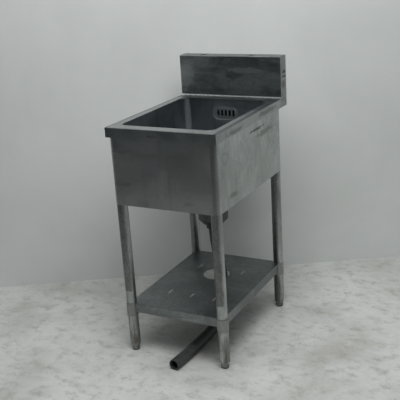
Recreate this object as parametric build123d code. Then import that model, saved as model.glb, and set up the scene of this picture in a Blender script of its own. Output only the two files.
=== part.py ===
from build123d import *
import os
from math import cos, pi, radians, sin, tan

# A free-standing single bowl sink on four round legs, in millimetres.
# X runs across the sink, Y to the back and Z up. The origin is on the floor,
# under the middle of the outline of the top.

# Top and back splash
top_width = 420
top_depth = 610
rim_height = 850
sheet = 1.0
apron_drop = 34
top_edge_radius = 2.5
top_corner_radius = 3
front_rim = 47
side_rim = 31.5
rear_rim = 47
bowl_lip_drop = 5
bowl_lip_radius = 2.5
guard_height = 155
guard_depth = 53
guard_bend = 4
cove_radius = 8
guard_foot_flat = 2
guard_lip = 26
tap_hole_radius = 12
tap_hole_places = (-119, 84)

# Bowl
bowl_depth = 255
bowl_corner_radius = 30
bowl_floor_radius = 22
floor_fall = 5
waste_recess_radius = 74
waste_recess_depth = 3
waste_from_back = 153

# Case round the bowl
case_inset = 6.5
case_drop = 276
case_sheet = 0.8
case_hem = 12
hem_gap = 1
case_rear_return = 20
corner_lap = 1.5
seam_gap = 0.3

# Legs and feet
leg_diameter = 38.1
leg_wall = 1.2
leg_bottom = 24
leg_slack = 0.1
rear_leg_setback = 68.7
leg_plate = 3
leg_plate_reach = 40
plate_stud_radius = 3
plate_stud_length = 14
stud_slack = 0.3
plate_nut_flats = 10
plate_nut_height = 5
insert_flange = 1.5
insert_length = 26
insert_flange_setback = 0.4
screw_radius = 6
screw_slack = 0.05
screw_length = 47
screw_chamfer = 1
foot_radius = 14
foot_gap = 0.3
foot_flats = 24
foot_flats_height = 9
pad_height = 5
pad_peg_radius = 7
pad_peg_height = 3
foot_web = 2
pad_round = 2.5

# Frame under the top
hat_width = 16
hat_flange = 8
hat_height = 16
hat_bend = 2
angle_leg = 18
rail_sheet = 1.2
rail_end_gap = 3
rail_from_bowl = 2.5
rail_from_case = 2.7
brace_height = 40
brace_width = 8
brace_from_case = 0.4

# Lower shelf
shelf_height = 191
shelf_drop = 34
shelf_lip = 10
shelf_bend = 2
shelf_overhang = 6.5
shelf_hole_radius = 51
shelf_slot_length = 50
shelf_slot_width = 4.5
shelf_slot_side = 92
shelf_slot_rows = {-146.5: (-1, 0, 1), 102.5: (-1, 1)}
stiffener_width = 50
stiffener_height = 22
stiffener_flange = 12
stiffener_places = (-75, 165)
collar_wall = 1.9
collar_length = 50
collar_top = 192
grub_radius = 3
grub_length = 9
grub_boss_radius = 5.5
grub_boss_length = 4
grub_height = 150

# Waste and trap
flange_plate = 2.5
waste_neck_radius = 56
waste_neck_wall = 2.5
waste_neck_length = 32
waste_hole_slack = 1
waste_rim_gap = 2
flange_slope = 10
seat_width = 6
seat_drop = 2
gasket = 3
lock_nut_height = 11
lock_nut_wall = 11
lock_nut_lugs = 8
lug_height = 3
lug_width = 12
trap_wall = 1.4
trap_length = 147
trap_cone_height = 20
trap_cone_radius = 39
trap_thread_radius = 22
trap_outlet_bore = 18
trap_joint_slack = 0.1
standpipe_height = 115
standpipe_wall = 2
bell_radius = 36
bell_wall = 2
bell_skirt_lift = 35
bell_knob_radius = 9
bell_knob_height = 6
bell_rise = 15
bell_crown = 6
bell_rib = 3
bell_ribs = 3
basket_slack = 0.3
basket_wall = 0.8
basket_depth = 34
basket_taper = 6
basket_slots = 16
basket_slot_width = 4
basket_hole_radius = 2.5
basket_hole_pitch = 14
basket_hole_rings = (6, 12)
basket_round = 3
handle_wire = 1.5
handle_radius = 20
handle_leg = 8

# Outlet and drain hose
outlet_nut_radius = 28
outlet_nut_gap = 2
outlet_nut_height = 17
outlet_nut_lip = 2
outlet_nut_grips = 12
grip_radius = 2.2
outlet_washer = 1.5
tail_flange = 1.5
tail_drop = 4
hose_radius = 20
hose_wall = 4
bend_share = 0.45
hose_start = 30
hose_landing = 128
hose_overhang = 58
hose_lying_places = (36, 36, 35, 31.5, 25)

# Overflow
overflow_drop = 55
overflow_recess = 3
overflow_recess_gap = 3
overflow_recess_round = 2.5
cover_width = 100
cover_height = 42
cover_thickness = 2
cover_round = 1.2
slot_count = 5
slot_pitch = 16
slot_width = 9
slot_height = 24
wall_hole_width = 76
wall_hole_height = 34
overflow_screw_spread = 88
overflow_screw_radius = 2.5
overflow_screw_length = 12
overflow_head_radius = 4.5
overflow_head_height = 2.4
screw_hole_slack = 0.2
overflow_gasket = 2
box_flange = 3
box_depth = 31
box_wall = 2
spigot_radius = 13
spigot_wall = 2
spigot_length = 26
spigot_setback = 20.6
overflow_hose_radius = 15.5
overflow_hose_slack = 0.1
overflow_inlet_drop = 42
overflow_inlet_length = 24
overflow_bend_rise = 42
overflow_bend_run = 37
overflow_bend_radius = 50
hose_end_gap = 1
clip_thickness = 1
clip_width = 9
clip_offset = 14
clip_screw_radius = 3.5
clip_screw_length = 14

# Worked-out places
half_width = top_width / 2
front = -top_depth / 2
back = top_depth / 2
guard_front = back - guard_depth
guard_middle = back - guard_depth / 2
deck_back = guard_front - cove_radius - guard_foot_flat
guard_top = rim_height + guard_height
under_deck = rim_height - sheet
apron_bottom = rim_height - apron_drop
case_bottom = rim_height - case_drop
bowl_front = front + front_rim
bowl_back = guard_front - rear_rim
bowl_length = bowl_back - bowl_front
bowl_width = top_width - 2 * side_rim
bowl_middle = (bowl_front + bowl_back) / 2
bowl_top = rim_height - bowl_lip_drop
bowl_floor = rim_height - bowl_depth
waste_floor = bowl_floor - floor_fall - waste_recess_depth
waste_y = bowl_back - waste_from_back
leg_radius = leg_diameter / 2
case_side = half_width - case_inset
case_front = front + case_inset
case_corner = leg_radius + leg_slack + case_sheet
leg_x = case_side - case_corner
front_leg_y = case_front + case_corner
rear_leg_y = back - rear_leg_setback
case_back = rear_leg_y + case_corner
brace_back = case_back - case_sheet - brace_from_case
leg_top = under_deck - leg_plate
insert_bottom = leg_bottom - insert_flange
foot_top = insert_bottom - foot_gap
foot_bore_bottom = pad_height + pad_peg_height + foot_web
plate_radius = leg_radius - 0.5
leg_places = {
    "front_left": (-leg_x, front_leg_y),
    "front_right": (leg_x, front_leg_y),
    "rear_left": (-leg_x, rear_leg_y),
    "rear_right": (leg_x, rear_leg_y),
}
inner_plate_end = leg_x - leg_plate_reach - plate_radius
collar_radius = leg_radius + leg_slack + collar_wall
shelf_side = leg_x + shelf_overhang
shelf_front = front_leg_y - shelf_overhang
shelf_back = rear_leg_y + shelf_overhang
trap_radius = waste_neck_radius + trap_joint_slack + trap_wall
lock_nut_bottom = waste_floor - sheet - gasket - lock_nut_height
lock_nut_radius = waste_neck_radius + lock_nut_wall
neck_bottom = waste_floor - waste_neck_length
trap_shoulder = lock_nut_bottom - trap_length
trap_bottom = trap_shoulder - trap_cone_height
standpipe_top = trap_bottom + standpipe_height
outlet_nut_top = trap_bottom - outlet_nut_gap
outlet_nut_bottom = outlet_nut_top - outlet_nut_height
tail_end = outlet_nut_bottom - tail_drop
throat_radius = waste_neck_radius - waste_neck_wall
seat_radius = throat_radius + seat_width
waste_hole_radius = waste_neck_radius + waste_hole_slack
trap_thread_end = outlet_nut_bottom + outlet_nut_lip + tail_flange + outlet_washer
hose_bore = hose_radius - hose_wall
overflow_height = rim_height - overflow_drop
overflow_inlet_height = lock_nut_bottom - overflow_inlet_drop
cover_seat = bowl_back + overflow_recess
box_front = cover_seat + sheet + overflow_gasket
box_back = box_front + box_flange + box_depth - box_wall
spigot_y = cover_seat + sheet + spigot_setback
spigot_top = overflow_height - wall_hole_height / 2 - box_wall

# The hose leans as it drops through the shelf, bends forward under it and lies on
# the floor, with its cut end in front of the sink.
landing = waste_y - hose_landing
lying_run = front - hose_overhang - landing
hose_route = [
    (0, waste_y, tail_end),
    (0, waste_y, tail_end - hose_start),
    (9, waste_y, (tail_end + shelf_height) / 2),
    (25, waste_y - 1, shelf_height + 17),
    (31, waste_y - 6, shelf_height - 49),
    (33, waste_y - 29, 86),
    (35, waste_y - 72, 43),
]
for index, across in enumerate(hose_lying_places):
    along = landing + lying_run * index / (len(hose_lying_places) - 1)
    hose_route.append((across, along, hose_radius))


def block(x, y, z):
    """A box between two values on each axis."""
    size = [high - low for low, high in (x, y, z)]
    middle = [(low + high) / 2 for low, high in (x, y, z)]
    return Pos(*middle) * Box(*size)


def rounded_block(x, y, z, radius):
    """An upright box with rounded vertical edges."""
    outline = Pos((x[0] + x[1]) / 2, (y[0] + y[1]) / 2, z[0]) * RectangleRounded(
        x[1] - x[0], y[1] - y[0], radius
    )
    return extrude(outline, z[1] - z[0])


def disc(x, y, bottom, top, radius):
    """An upright cylinder."""
    return Pos(x, y, (bottom + top) / 2) * Cylinder(radius, top - bottom)


def tube(x, y, bottom, top, outer, inner):
    """An upright tube."""
    return disc(x, y, bottom, top, outer) - disc(x, y, bottom, top, inner)


def turned(x, y, outline):
    """A turned piece about an upright axis, from its outline of radius and height."""
    return Pos(x, y, 0) * revolve(Plane.XZ * make_face(Polyline(*outline, close=True)), Axis.Z)


def folded(points, bends, thickness, side=Side.LEFT):
    """The section of a folded sheet that lies on one side of a bent line."""
    return make_face(offset(FilletPolyline(*points, radius=bends), thickness, side=side))


def edges_at(shape, height):
    """All edges that lie at one height."""
    return shape.edges().filter_by_position(Axis.Z, height, height)


def flats(x, y, bottom, top, across):
    """A hexagonal bar."""
    return Pos(x, y, bottom) * extrude(RegularPolygon(across / 2, 6, major_radius=False), top - bottom)


def on_back_wall(y):
    """The plane of the overflow fitting, facing the bowl, at one distance back."""
    return Plane(origin=(0, y, overflow_height), x_dir=(1, 0, 0), z_dir=(0, -1, 0))


# Top and back splash


def skin_block(inset):
    """The deck's outer form, or the hollow under it when drawn in by the sheet."""
    side = half_width - inset
    body = rounded_block(
        (-side, side),
        (front + inset, deck_back + 2 * top_corner_radius),
        (apron_bottom, rim_height - inset),
        top_corner_radius - inset,
    )
    return fillet(edges_at(body, rim_height - inset), top_edge_radius - inset)


def bowl_outline(grow, bottom, top):
    """An upright block as wide as the bowl's opening, or larger by a wall."""
    side = bowl_width / 2 + grow
    return rounded_block(
        (-side, side),
        (bowl_front - grow, bowl_back + grow),
        (bottom, top),
        bowl_corner_radius + grow,
    )


def mouth_edges(shape, height):
    """The edges round the bowl's opening at one height."""

    def is_mouth(edge):
        place = edge.center()
        beside = abs(place.X) < bowl_width / 2 + 2 * sheet
        return beside and bowl_front - 2 * sheet < place.Y < bowl_back + 2 * sheet

    return edges_at(shape, height).filter_by(is_mouth)


def make_deck():
    """Flat rim with turned-down edges and a rounded lip that hangs into the opening."""
    skin = skin_block(0) - bowl_outline(0, apron_bottom, rim_height)
    skin = fillet(mouth_edges(skin, rim_height), bowl_lip_radius)
    hollow = skin_block(sheet) - bowl_outline(sheet, bowl_top, under_deck)
    hollow = fillet(mouth_edges(hollow, under_deck), bowl_lip_radius - sheet)
    behind = block((-top_width, top_width), (deck_back, 2 * top_depth), (0, 2 * guard_top))
    return skin - hollow - behind


def make_guard():
    """Back splash: one sheet that rises from a coved foot, bends back over two tap holes and turns down."""
    line = (
        (deck_back, rim_height),
        (guard_front, rim_height),
        (guard_front, guard_top),
        (back, guard_top),
        (back, guard_top - guard_lip),
    )
    section = folded(line, [cove_radius, guard_bend, guard_bend], sheet, Side.RIGHT)
    guard = extrude(Plane.YZ * section, half_width - sheet, both=True)
    for place in tap_hole_places:
        guard -= disc(place, guard_middle, guard_top - 2 * sheet, guard_top + sheet, tap_hole_radius)
    return guard


def make_guard_end(side):
    """Flat plate that closes one end of the back splash and follows its section."""
    corners = (
        (deck_back, apron_bottom),
        (back, apron_bottom),
        (back, guard_top),
        (guard_front, guard_top),
        (guard_front, rim_height),
        (deck_back, rim_height),
    )
    rounds = [0, 0, guard_bend, guard_bend, cove_radius, 0]
    plate = extrude(Plane.YZ * make_face(FilletPolyline(*corners, radius=rounds, close=True)), sheet)
    return Pos(side * (half_width - sheet / 2) - sheet / 2, 0, 0) * plate


# Bowl


def overflow_pocket(grow):
    """Where the back wall is pressed in round the overflow cover."""
    margin = 2 * (overflow_recess_gap + grow)
    outline = SlotOverall(cover_width + margin, cover_height + margin)
    return extrude(on_back_wall(cover_seat + grow) * outline, 2 * overflow_recess + grow)


def pocket_edges(form, y):
    """The edge round the overflow's pocket in the face of the back wall."""

    def is_near(edge):
        return abs(edge.center().Z - overflow_height) < cover_height

    return form.edges().filter_by_position(Axis.Y, y, y).filter_by(is_near)


def bowl_form(grow):
    """The bowl's inside, or its outside when grown by the sheet."""
    floor = bowl_floor - grow
    radius = bowl_floor_radius + grow
    form = bowl_outline(grow, floor, bowl_top)
    form = fillet(edges_at(form, floor), radius)
    form += overflow_pocket(grow)
    form = fillet(pocket_edges(form, bowl_back + grow), overflow_recess_round - grow)
    reach = bowl_floor_radius
    flat = RectangleRounded(
        bowl_width - 2 * reach, bowl_length - 2 * reach, bowl_corner_radius - reach
    )
    fall = loft(
        [
            Pos(0, bowl_middle, floor) * flat,
            Pos(0, waste_y, floor - floor_fall) * Circle(waste_recess_radius + grow),
        ],
        ruled=True,
    )
    recess_floor = waste_floor - grow
    recess = disc(0, waste_y, recess_floor, floor - floor_fall, waste_recess_radius + grow)
    return form + fall + recess


def make_bowl():
    """Pressed bowl with a recess for the overflow, whose floor falls to a recess for the waste."""
    bowl = bowl_form(sheet) - bowl_form(0)
    hole = disc(0, waste_y, waste_floor - 2 * sheet, waste_floor + sheet, waste_hole_radius)
    window = extrude(on_back_wall(cover_seat + 2 * sheet) * wall_hole(), 3 * sheet)
    return bowl - hole - window - overflow_screw_holes(screw_hole_slack)


# Case


def upright_sheet(points, bends, side):
    """A case sheet that stands on end and follows a bent line seen from above."""
    section = folded(points, bends, case_sheet, side)
    return Pos(0, 0, case_bottom) * extrude(section, under_deck - case_bottom)


def make_front_case():
    """Front sheet: wraps round the left leg and stops at a seam beside the right one."""
    line = (
        (leg_x - corner_lap - seam_gap, case_front),
        (-case_side, case_front),
        (-case_side, front_leg_y + corner_lap),
    )
    hem_end = leg_x - leg_radius - hem_gap
    hem = block(
        (-hem_end, hem_end),
        (case_front + case_sheet / 2, case_front + case_hem),
        (case_bottom, case_bottom + case_sheet),
    )
    return upright_sheet(line, [case_corner], Side.RIGHT) + hem


def side_hem(side):
    """Edge turned in along the bottom of a side sheet, between its two legs."""
    across = sorted((side * (case_side - case_hem), side * (case_side - case_sheet / 2)))
    along = (front_leg_y + leg_radius + hem_gap, rear_leg_y - leg_radius - hem_gap)
    return block(across, along, (case_bottom, case_bottom + case_sheet))


def make_left_case():
    """Left side sheet: starts at the front sheet's end and wraps round the rear leg."""
    line = (
        (-case_side, front_leg_y + corner_lap + seam_gap),
        (-case_side, case_back),
        (-leg_x + case_rear_return, case_back),
    )
    return upright_sheet(line, [case_corner], Side.RIGHT) + side_hem(-1)


def make_right_case():
    """Right side sheet: wraps round both of its legs."""
    line = (
        (leg_x - corner_lap, case_front),
        (case_side, case_front),
        (case_side, case_back),
        (leg_x - case_rear_return, case_back),
    )
    return upright_sheet(line, [case_corner, case_corner], Side.LEFT) + side_hem(1)


# Frame under the top


def hat(width, flange, height):
    """Section of a hat rail whose flanges lie along the top, centred on zero."""
    half = width / 2
    line = (
        (-half - flange, 0),
        (-half, 0),
        (-half, -height),
        (half, -height),
        (half, 0),
        (half + flange, 0),
    )
    return folded(line, [hat_bend] * 4, rail_sheet, Side.RIGHT)


def cross_rail(middle):
    """Hat rail across the sink, close under the deck, between the leg plates."""
    section = Pos(middle, under_deck) * hat(hat_width, hat_flange, hat_height)
    return extrude(Plane.YZ * section, inner_plate_end - rail_end_gap, both=True)


def side_rail(side):
    """Angle rail along one side of the bowl, close under the deck."""
    near = bowl_width / 2 + sheet + rail_from_bowl
    far = case_side - case_sheet - rail_from_case
    line = (
        (far, under_deck),
        (near, under_deck),
        (near, under_deck - angle_leg),
    )
    start = front_leg_y + plate_radius + rail_end_gap
    end = rear_leg_y - plate_radius - rail_end_gap
    section = folded(line, [hat_bend], rail_sheet, Side.LEFT)
    rail = Pos(0, end, 0) * extrude(Plane.XZ * section, end - start)
    return rail if side > 0 else mirror(rail, Plane.YZ)


def make_rear_brace():
    """Shallow channel between the rear legs at the foot of the open back, behind the hose."""
    near = brace_back - brace_width
    top = case_bottom + brace_height
    line = ((near, top), (brace_back, top), (brace_back, case_bottom), (near, case_bottom))
    section = folded(line, [hat_bend] * 2, rail_sheet, Side.RIGHT)
    brace = extrude(Plane.YZ * section, leg_x, both=True)
    for side in (-1, 1):
        brace -= disc(side * leg_x, rear_leg_y, case_bottom, top, leg_radius)
    return brace


# Legs and feet


def plate_end(x):
    """Where the inner end of a leg plate lies across the sink."""
    return x - leg_plate_reach * (1 if x > 0 else -1)


def make_leg_plate(x, y):
    """Plate welded on a leg's top, with a hole for its stud at the inner end."""
    outline = SlotCenterToCenter(leg_plate_reach, 2 * plate_radius)
    plate = Pos((x + plate_end(x)) / 2, y, leg_top) * extrude(outline, leg_plate)
    return plate - disc(plate_end(x), y, leg_top, under_deck, plate_stud_radius + stud_slack)


def make_plate_stud(x, y):
    """Stud welded under the deck."""
    return disc(plate_end(x), y, under_deck - plate_stud_length, under_deck, plate_stud_radius)


def make_plate_nut(x, y):
    """Hexagonal nut that holds a leg plate on its stud."""
    low = leg_top - plate_nut_height
    nut = flats(plate_end(x), y, low, leg_top, plate_nut_flats)
    return nut - disc(plate_end(x), y, low, leg_top, plate_stud_radius + screw_slack)


def make_leg(x, y):
    """Round leg tube."""
    return tube(x, y, leg_bottom, leg_top, leg_radius, leg_radius - leg_wall)


def make_leg_insert(x, y):
    """Threaded plug pressed into a leg's end, with a flange that covers the cut tube."""
    plug_radius = leg_radius - leg_wall - screw_slack
    insert = disc(x, y, leg_bottom, insert_bottom + insert_length, plug_radius)
    insert += disc(x, y, insert_bottom, leg_bottom, leg_radius - insert_flange_setback)
    return insert - disc(x, y, insert_bottom, insert_bottom + insert_length, screw_radius + screw_slack)


def make_foot_screw(x, y):
    """Threaded rod that carries a foot up and down in its insert."""
    low = foot_bore_bottom + foot_gap
    rod = disc(x, y, low, low + screw_length, screw_radius)
    return chamfer(edges_at(rod, low + screw_length), screw_chamfer)


def make_foot(x, y):
    """Turned foot with two spanner flats, on the end of its screw."""
    foot = disc(x, y, pad_height, foot_top, foot_radius)
    foot = chamfer(edges_at(foot, foot_top), screw_chamfer)
    flats_bottom = foot_top - foot_flats_height - screw_chamfer
    for side in (-1, 1):
        away = sorted((side * foot_flats / 2, side * foot_radius * 2))
        foot -= block(
            [x + value for value in away],
            (y - foot_radius, y + foot_radius),
            (flats_bottom, flats_bottom + foot_flats_height),
        )
    foot -= disc(x, y, foot_bore_bottom, foot_top, screw_radius + screw_slack)
    return foot - disc(x, y, pad_height, pad_height + pad_peg_height, pad_peg_radius + screw_slack)


def make_foot_pad(x, y):
    """Moulded pad with a round lower edge and a peg that plugs into its foot."""
    pad = fillet(edges_at(disc(x, y, 0, pad_height, foot_radius), 0), pad_round)
    return pad + disc(x, y, pad_height, pad_height + pad_peg_height - foot_gap, pad_peg_radius)


# Lower shelf


def shelf_block(inset, bottom):
    """The shelf's outer form, or the hollow in it when drawn in by the sheet."""
    body = block(
        (-shelf_side + inset, shelf_side - inset),
        (shelf_front + inset, shelf_back - inset),
        (bottom, shelf_height - inset),
    )
    return fillet(edges_at(body, shelf_height - inset), shelf_bend - inset)


def make_shelf():
    """Tray with turned-down edges and lips, a hose hole, slots and notched corners."""
    low = shelf_height - shelf_drop
    shelf = shelf_block(0, low) - shelf_block(sheet, low + sheet)
    reach = sheet + shelf_lip
    shelf -= block(
        (-shelf_side + reach, shelf_side - reach),
        (shelf_front + reach, shelf_back - reach),
        (low, low + sheet),
    )
    for x, y in leg_places.values():
        shelf -= disc(x, y, low, shelf_height, collar_radius + leg_slack)
    shelf -= disc(0, waste_y, low, shelf_height, shelf_hole_radius)
    slot = extrude(Rot(0, 0, 90) * SlotOverall(shelf_slot_length, shelf_slot_width), 2 * sheet, both=True)
    for y, columns in shelf_slot_rows.items():
        for column in columns:
            shelf -= Pos(column * shelf_slot_side, y, shelf_height) * slot
    return shelf


def make_stiffener(middle):
    """Hat section across the shelf's underside."""
    section = Pos(middle, shelf_height - sheet) * hat(
        stiffener_width, stiffener_flange, stiffener_height
    )
    return extrude(Plane.YZ * section, shelf_side - shelf_bend, both=True)


def grub_axis(x, y, start):
    """Frame at a distance from a leg's middle, facing inward at 45 degrees."""
    direction = Vector(-1 if x > 0 else 1, -1 if y > 0 else 1, 0).normalized()
    place = Vector(x, y, grub_height) + direction * start
    return Plane(origin=place, z_dir=direction)


def make_collar(x, y):
    """Ring round a leg that carries the shelf's corner, with a boss for its grub screw."""
    collar = disc(x, y, collar_top - collar_length, collar_top, collar_radius)
    boss = grub_axis(x, y, collar_radius - collar_wall)
    collar += extrude(boss * Circle(grub_boss_radius), collar_wall + grub_boss_length)
    collar -= disc(x, y, collar_top - collar_length, collar_top, leg_radius + leg_slack)
    bore = grub_axis(x, y, leg_radius)
    return collar - extrude(bore * Circle(grub_radius + screw_slack), 2 * grub_length)


def make_grub_screw(x, y):
    """Headless screw that presses on the leg."""
    return extrude(grub_axis(x, y, leg_radius + screw_slack) * Circle(grub_radius), grub_length)


# Waste and trap


def make_waste_flange():
    """Pressed flange with a coned seat for the basket and a threaded neck."""
    rim = waste_recess_radius - waste_rim_gap
    top = waste_floor + flange_plate
    return turned(
        0,
        waste_y,
        (
            (waste_neck_radius, waste_floor),
            (rim, waste_floor),
            (rim, waste_floor + flange_plate / 2),
            (rim - flange_slope, top),
            (seat_radius, top),
            (throat_radius, waste_floor - seat_drop),
            (throat_radius, neck_bottom),
            (waste_neck_radius, neck_bottom),
        ),
    )


def make_waste_gasket():
    """Rubber ring under the bowl."""
    top = waste_floor - sheet
    return tube(0, waste_y, top - gasket, top, lock_nut_radius, waste_hole_radius)


def make_lock_nut():
    """Ring nut with spanner lugs that clamps the flange to the bowl."""
    top = lock_nut_bottom + lock_nut_height
    nut = tube(0, waste_y, lock_nut_bottom, top, lock_nut_radius, waste_neck_radius + screw_slack)
    lug = Pos(lock_nut_radius, 0, lock_nut_bottom + lock_nut_height / 2) * Box(
        2 * lug_height, lug_width, lock_nut_height
    )
    lug -= disc(0, 0, lock_nut_bottom, top, lock_nut_radius - lug_height / 2)
    for index in range(lock_nut_lugs):
        nut += Pos(0, waste_y, 0) * Rot(0, 0, 360 * index / lock_nut_lugs) * lug
    return nut


def make_trap_body():
    """Trap cup with a coned foot, a standpipe, a threaded outlet and an overflow inlet."""
    inner = trap_radius - trap_wall
    cone_floor = trap_bottom + standpipe_wall
    body = turned(
        0,
        waste_y,
        (
            (inner, lock_nut_bottom),
            (trap_radius, lock_nut_bottom),
            (trap_radius, trap_shoulder),
            (trap_cone_radius, trap_bottom),
            (trap_thread_radius, trap_bottom),
            (trap_thread_radius, trap_thread_end),
            (trap_outlet_bore, trap_thread_end),
            (trap_outlet_bore, standpipe_top),
            (trap_outlet_bore + standpipe_wall, standpipe_top),
            (trap_outlet_bore + standpipe_wall, cone_floor),
            (trap_cone_radius - trap_wall, cone_floor),
            (inner, trap_shoulder),
        ),
    )
    mouth = Plane(origin=(0, waste_y + inner, overflow_inlet_height), z_dir=(0, 1, 0))
    body += extrude(mouth * Circle(spigot_radius), trap_wall + overflow_inlet_length)
    bore = mouth.offset(-trap_wall) * Circle(spigot_radius - spigot_wall)
    return body - extrude(bore, 3 * trap_wall + overflow_inlet_length)


def make_trap_bell():
    """Bell that stands over the standpipe on three ribs and makes the water seal."""
    top = standpipe_top + bell_rise
    skirt = trap_bottom + bell_skirt_lift
    inner = bell_radius - bell_wall
    bell = turned(
        0,
        waste_y,
        (
            (bell_radius, skirt),
            (bell_radius, top - bell_crown),
            (bell_radius - bell_crown, top),
            (bell_knob_radius, top),
            (bell_knob_radius, top + bell_knob_height),
            (0, top + bell_knob_height),
            (0, top - bell_wall),
            (bell_radius - bell_crown - bell_wall / 2, top - bell_wall),
            (inner, top - bell_crown - bell_wall / 2),
            (inner, skirt),
        ),
    )
    rib = block(
        (trap_outlet_bore - bell_rib, bell_radius - bell_crown),
        (-bell_rib / 2, bell_rib / 2),
        (standpipe_top + basket_slack, top - bell_wall / 2),
    )
    for index in range(bell_ribs):
        bell += Pos(0, waste_y, 0) * Rot(0, 0, 360 * index / bell_ribs) * rib
    return bell


def make_basket():
    """Strainer basket: a tapered cup with slots round its wall and holes in its floor."""
    floor = waste_floor - seat_drop - basket_depth
    wall_top = waste_floor - seat_drop + basket_slack
    line = (
        (seat_radius, waste_floor + flange_plate + basket_slack),
        (throat_radius - basket_slack, wall_top),
        (throat_radius - basket_slack - basket_taper, floor),
        (0, floor),
    )
    section = folded(line, [basket_wall, basket_round], basket_wall, Side.RIGHT)
    basket = revolve(Plane.XZ * section, Axis.Z)
    slot_top = wall_top - 2 * basket_round
    cutter = block(
        (-2 * throat_radius, 2 * throat_radius),
        (-basket_slot_width / 2, basket_slot_width / 2),
        (floor + 3 * basket_round, slot_top),
    )
    for index in range(basket_slots // 2):
        basket -= Rot(0, 0, 360 * index / basket_slots) * cutter
    hole = disc(0, 0, floor - basket_wall, floor + 2 * basket_wall, basket_hole_radius)
    basket -= hole
    for ring, count in enumerate(basket_hole_rings, start=1):
        for index in range(count):
            turn = Rot(0, 0, 360 * index / count)
            basket -= turn * Pos(ring * basket_hole_pitch, 0, 0) * hole
    return Pos(0, waste_y, 0) * basket


def make_basket_handle():
    """Wire arch that stands on the basket's floor."""
    floor = waste_floor - seat_drop - basket_depth + basket_wall
    shoulder = floor + handle_leg
    path = (
        Line((-handle_radius, 0, floor), (-handle_radius, 0, shoulder))
        + ThreePointArc(
            (-handle_radius, 0, shoulder),
            (0, 0, shoulder + handle_radius),
            (handle_radius, 0, shoulder),
        )
        + Line((handle_radius, 0, shoulder), (handle_radius, 0, floor))
    )
    wire = sweep(Pos(-handle_radius, 0, floor) * Circle(handle_wire), path)
    return Pos(0, waste_y, 0) * wire


# Outlet and drain hose


def make_outlet_washer():
    """Rubber ring between the trap's outlet and the hose tail."""
    low = trap_thread_end - outlet_washer
    return tube(0, waste_y, low, trap_thread_end, trap_thread_radius - leg_slack, trap_outlet_bore)


def make_outlet_nut():
    """Grooved hand nut that holds the hose tail on the trap."""
    nut = disc(0, waste_y, outlet_nut_bottom, outlet_nut_top, outlet_nut_radius)
    nut = chamfer(edges_at(nut, outlet_nut_bottom) + edges_at(nut, outlet_nut_top), screw_chamfer)
    lip = outlet_nut_bottom + outlet_nut_lip
    nut -= disc(0, waste_y, lip, outlet_nut_top, trap_thread_radius + screw_slack)
    nut -= disc(0, waste_y, outlet_nut_bottom, lip, hose_radius + leg_slack)
    for index in range(outlet_nut_grips):
        angle = radians(360 * index / outlet_nut_grips)
        nut -= disc(
            outlet_nut_radius * cos(angle),
            waste_y + outlet_nut_radius * sin(angle),
            outlet_nut_bottom,
            outlet_nut_top,
            grip_radius,
        )
    return nut


def make_hose_tail():
    """Flanged tail in the nut that the hose hangs from."""
    lip = outlet_nut_bottom + outlet_nut_lip
    tail = disc(0, waste_y, lip, lip + tail_flange, trap_thread_radius - leg_slack)
    tail += disc(0, waste_y, tail_end, lip, hose_radius)
    return tail - disc(0, waste_y, tail_end, lip + tail_flange, hose_bore)


def bend_radii(points):
    """The largest smooth radius at each corner of a route."""
    places = [Vector(*point) for point in points]
    radii = []
    for before, here, after in zip(places, places[1:], places[2:]):
        turn = radians((here - before).get_angle(after - here))
        shorter = min((here - before).length, (after - here).length)
        radii.append(bend_share * shorter / tan(turn / 2))
    return radii


def pipe(points, radii, outer, inner):
    """A hollow pipe along straight runs joined by arcs, with its length printed."""
    path = FilletPolyline(*points, radius=radii)
    start = Plane(origin=points[0], z_dir=path % 0)
    solid = sweep(start * (Circle(outer) - Circle(inner)), path)
    section = pi * (outer**2 - inner**2)
    print("pipe length", round(path.length, 1), "volume over section and length",
          round(solid.volume / (section * path.length), 4))
    return solid


def make_drain_hose():
    """Limp hose from the trap, through the shelf and out along the floor."""
    radii = bend_radii(hose_route)
    print("hose radii", [round(radius) for radius in radii])
    return pipe(hose_route, radii, hose_radius, hose_bore)


# Overflow


def wall_hole(grow=0):
    """Outline of the hole behind the overflow cover."""
    return SlotOverall(wall_hole_width + 2 * grow, wall_hole_height + 2 * grow)


def overflow_screw_holes(slack):
    """Two round bars through everything that the overflow screws pass."""
    bars = [
        extrude(
            on_back_wall(box_front + box_flange)
            * Pos(side * overflow_screw_spread / 2, 0)
            * Circle(overflow_screw_radius + slack),
            box_front + box_flange - bowl_back + 2 * cover_thickness,
        )
        for side in (-1, 1)
    ]
    return bars[0] + bars[1]


def make_overflow_cover():
    """Oblong cover with round ends and five upright slots, set into its recess."""
    cover = extrude(on_back_wall(cover_seat) * SlotOverall(cover_width, cover_height), cover_thickness)
    face = cover.faces().sort_by(Axis.Y)[0]
    cover = fillet(face.edges(), cover_round)
    slot = Rot(0, 0, 90) * SlotOverall(slot_height, slot_width)
    for index in range(slot_count):
        across = (index - (slot_count - 1) / 2) * slot_pitch
        cover -= extrude(on_back_wall(cover_seat) * Pos(across, 0) * slot, cover_thickness)
    return cover - overflow_screw_holes(screw_hole_slack)


def make_overflow_screw(side):
    """Pan head screw through the cover, wall and gasket into the box."""
    seat = on_back_wall(cover_seat - cover_thickness) * Pos(side * overflow_screw_spread / 2, 0)
    head = extrude(seat * Circle(overflow_head_radius), overflow_head_height)
    head = fillet(head.faces().sort_by(Axis.Y)[0].edges(), overflow_head_height / 2)
    return head + extrude(seat * Circle(overflow_screw_radius), -overflow_screw_length)


def make_overflow_gasket():
    """Rubber ring between the bowl's wall and the overflow box."""
    ring = SlotOverall(cover_width, cover_height) - wall_hole()
    return extrude(on_back_wall(box_front) * ring, overflow_gasket) - overflow_screw_holes(screw_hole_slack)


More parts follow.
